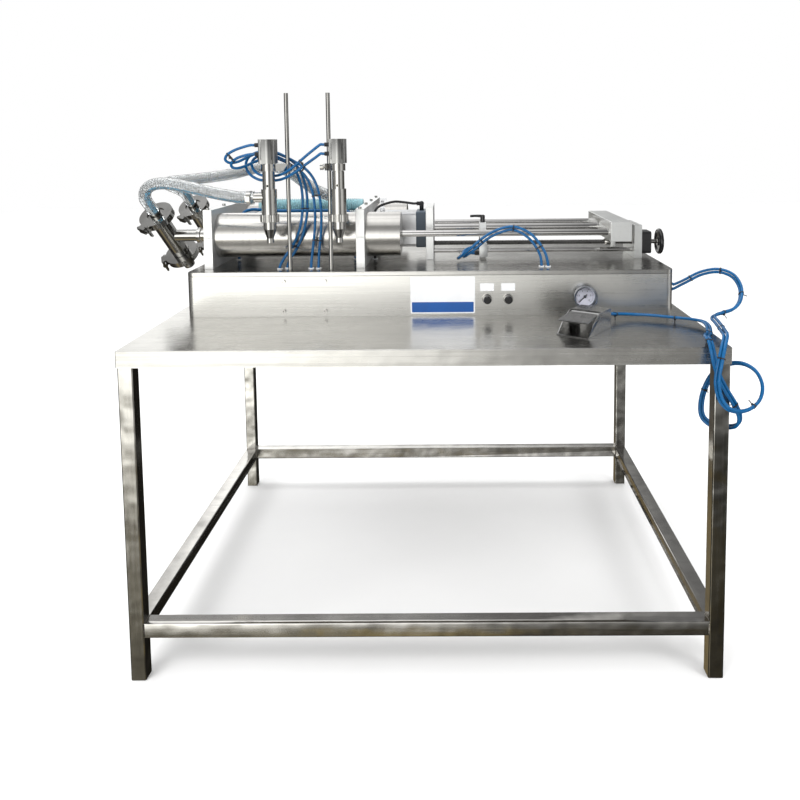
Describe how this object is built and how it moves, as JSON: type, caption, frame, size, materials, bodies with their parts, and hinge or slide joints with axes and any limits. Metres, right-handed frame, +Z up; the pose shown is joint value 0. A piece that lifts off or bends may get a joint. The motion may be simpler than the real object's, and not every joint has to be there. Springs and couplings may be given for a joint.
{
  "type": "honey filling machine",
  "caption": "Table-mounted twin-nozzle piston filler for honey: horizontal product cylinders, air drive, stroke handwheel, check valves, clear hoses and a foot pedal.",
  "frame": {"origin": "on the floor under the middle of the rigid machine", "axes": "+X along the machine towards the handwheel, +Y away from the operator, +Z up"},
  "size_m": [1.7899, 1.206, 1.495],
  "materials": {
    "stainless": "brushed stainless steel",
    "polished": "polished stainless steel",
    "plate": "bright machined aluminium",
    "profile": "anodised aluminium",
    "dark_cap": "dark grey paint",
    "black_plastic": "glossy black",
    "white_plastic": "white print film",
    "dark_plastic": "matt dark grey",
    "screw_steel": "oiled thread steel",
    "blue_tube": "blue polyurethane tube",
    "clear_hose": "clear hose with steel wire",
    "lens": "clear lens",
    "needle": "black",
    "pedal_metal": "dark bright plate"
  },
  "bodies": {
    "machine": {"table_top": "polished", "table_rails": "polished", "table_legs": "polished", "base_casing": "stainless", "base_lid": "polished", "post_sockets": "stainless", "panel_plates": "white_plastic", "air_valves": "profile", "gauge_case": "polished", "gauge_lens": "lens", "clamp_plates_lower": "plate", "clamp_plates_upper": "plate", "socket_screws": "stainless", "product_cylinders": "stainless", "cylinder_heads": "stainless", "rod_guides": "stainless", "air_barrel": "profile", "air_end_caps": "dark_cap", "drive_plate": "plate", "end_plate": "plate", "carriage_rail": "polished", "screw_housing": "black_plastic", "air_fittings": "dark_plastic", "valve_bodies": "polished", "valve_clamps": "stainless", "hose_tails": "polished", "nozzle_posts": "polished", "product_hose_front": "clear_hose", "product_hose_rear": "clear_hose", "suction_hose": "clear_hose", "nozzle_tubes": "blue_tube", "carriage_tubes": "blue_tube", "pedal_tubes": "blue_tube", "machine_tubes": "blue_tube", "pedal_housing": "pedal_metal"},
    "drive": {"pistons": "stainless", "piston_rods": "polished", "air_rod": "polished", "crosshead": "plate"},
    "stroke_setting": {"stroke_screw": "screw_steel", "handwheel": "black_plastic"},
    "carriage": {"stop_carriage": "plate", "limit_valve": "dark_plastic"},
    "lever": {"lock_lever": "black_plastic"},
    "knob_left": {"selector_knob_left": "black_plastic"},
    "knob_right": {"selector_knob_right": "black_plastic"},
    "needle": {"gauge_needle": "needle"},
    "nozzle_left": {"nozzle_left_clamp": "stainless", "nozzle_left_actuator": "profile", "nozzle_left_body": "polished", "nozzle_left_tip": "polished"},
    "stem_left": {"nozzle_left_stem": "polished"},
    "nozzle_right": {"nozzle_right_clamp": "stainless", "nozzle_right_actuator": "profile", "nozzle_right_body": "polished", "nozzle_right_tip": "polished"},
    "stem_right": {"nozzle_right_stem": "polished"},
    "outlet_valves": {"outlet_poppets": "stainless"},
    "inlet_valves": {"inlet_poppets": "stainless"},
    "treadle": {"pedal_treadle": "pedal_metal"}
  },
  "joints": [
    {"name": "drive_slide", "type": "slide", "parent": "machine", "child": "drive", "axis": [1, 0, 0], "range_m": [-0.36, 0]},
    {"name": "handwheel_turn", "type": "hinge", "parent": "machine", "child": "stroke_setting", "pos_m": [0.79175, 0.0485, 1.029], "axis": [1, 0, 0], "range_deg": [-3600, 8640]},
    {"name": "carriage_slide", "type": "slide", "parent": "machine", "child": "carriage", "axis": [1, 0, 0], "range_m": [-0.0501, 0.1201], "deforming": ["carriage_tubes"]},
    {"name": "lock_lever_turn", "type": "hinge", "parent": "carriage", "child": "lever", "pos_m": [0.22875, 0.0485, 1.095], "axis": [0, 0, 1], "range_deg": [-60, 60]},
    {"name": "selector_left_turn", "type": "hinge", "parent": "machine", "child": "knob_left", "pos_m": [0.23075, -0.2065, 0.898], "axis": [0, 1, 0], "range_deg": [-45, 45]},
    {"name": "selector_right_turn", "type": "hinge", "parent": "machine", "child": "knob_right", "pos_m": [0.29175, -0.2065, 0.898], "axis": [0, 1, 0], "range_deg": [-45, 45]},
    {"name": "gauge_needle_turn", "type": "hinge", "parent": "machine", "child": "needle", "pos_m": [0.51275, -0.2135, 0.904], "axis": [0, 1, 0], "range_deg": [0, 270], "stiffness_Nm_per_rad": 0.0002},
    {"name": "nozzle_left_height", "type": "slide", "parent": "machine", "child": "nozzle_left", "axis": [0, 0, 1], "range_m": [-0.04, 0.06], "deforming": ["product_hose_front", "nozzle_tubes"]},
    {"name": "nozzle_left_stem_lift", "type": "slide", "parent": "nozzle_left", "child": "stem_left", "axis": [0, 0, 1], "range_m": [0, 0.012]},
    {"name": "nozzle_right_height", "type": "slide", "parent": "machine", "child": "nozzle_right", "axis": [0, 0, 1], "range_m": [-0.04, 0.06], "deforming": ["product_hose_rear", "nozzle_tubes"]},
    {"name": "nozzle_right_stem_lift", "type": "slide", "parent": "nozzle_right", "child": "stem_right", "axis": [0, 0, 1], "range_m": [0, 0.012]},
    {"name": "outlet_valve_lift", "type": "slide", "parent": "machine", "child": "outlet_valves", "axis": [-0.2079, -0.6156, 0.7602], "range_m": [0, 0.01]},
    {"name": "inlet_valve_lift", "type": "slide", "parent": "machine", "child": "inlet_valves", "axis": [-0.2079, -0.6156, 0.7602], "range_m": [0, 0.01]},
    {"name": "treadle_turn", "type": "hinge", "parent": "machine", "child": "treadle", "pos_m": [0.48322, -0.39587, 0.894], "axis": [0.829, -0.5592, 0], "range_deg": [0, 14], "stiffness_Nm_per_rad": 3, "springref_deg": -11.46}
  ],
  "couplings": [
    {"joint": "carriage_slide", "follows": "handwheel_turn", "m_per_rad": 0.00079577}
  ]
}
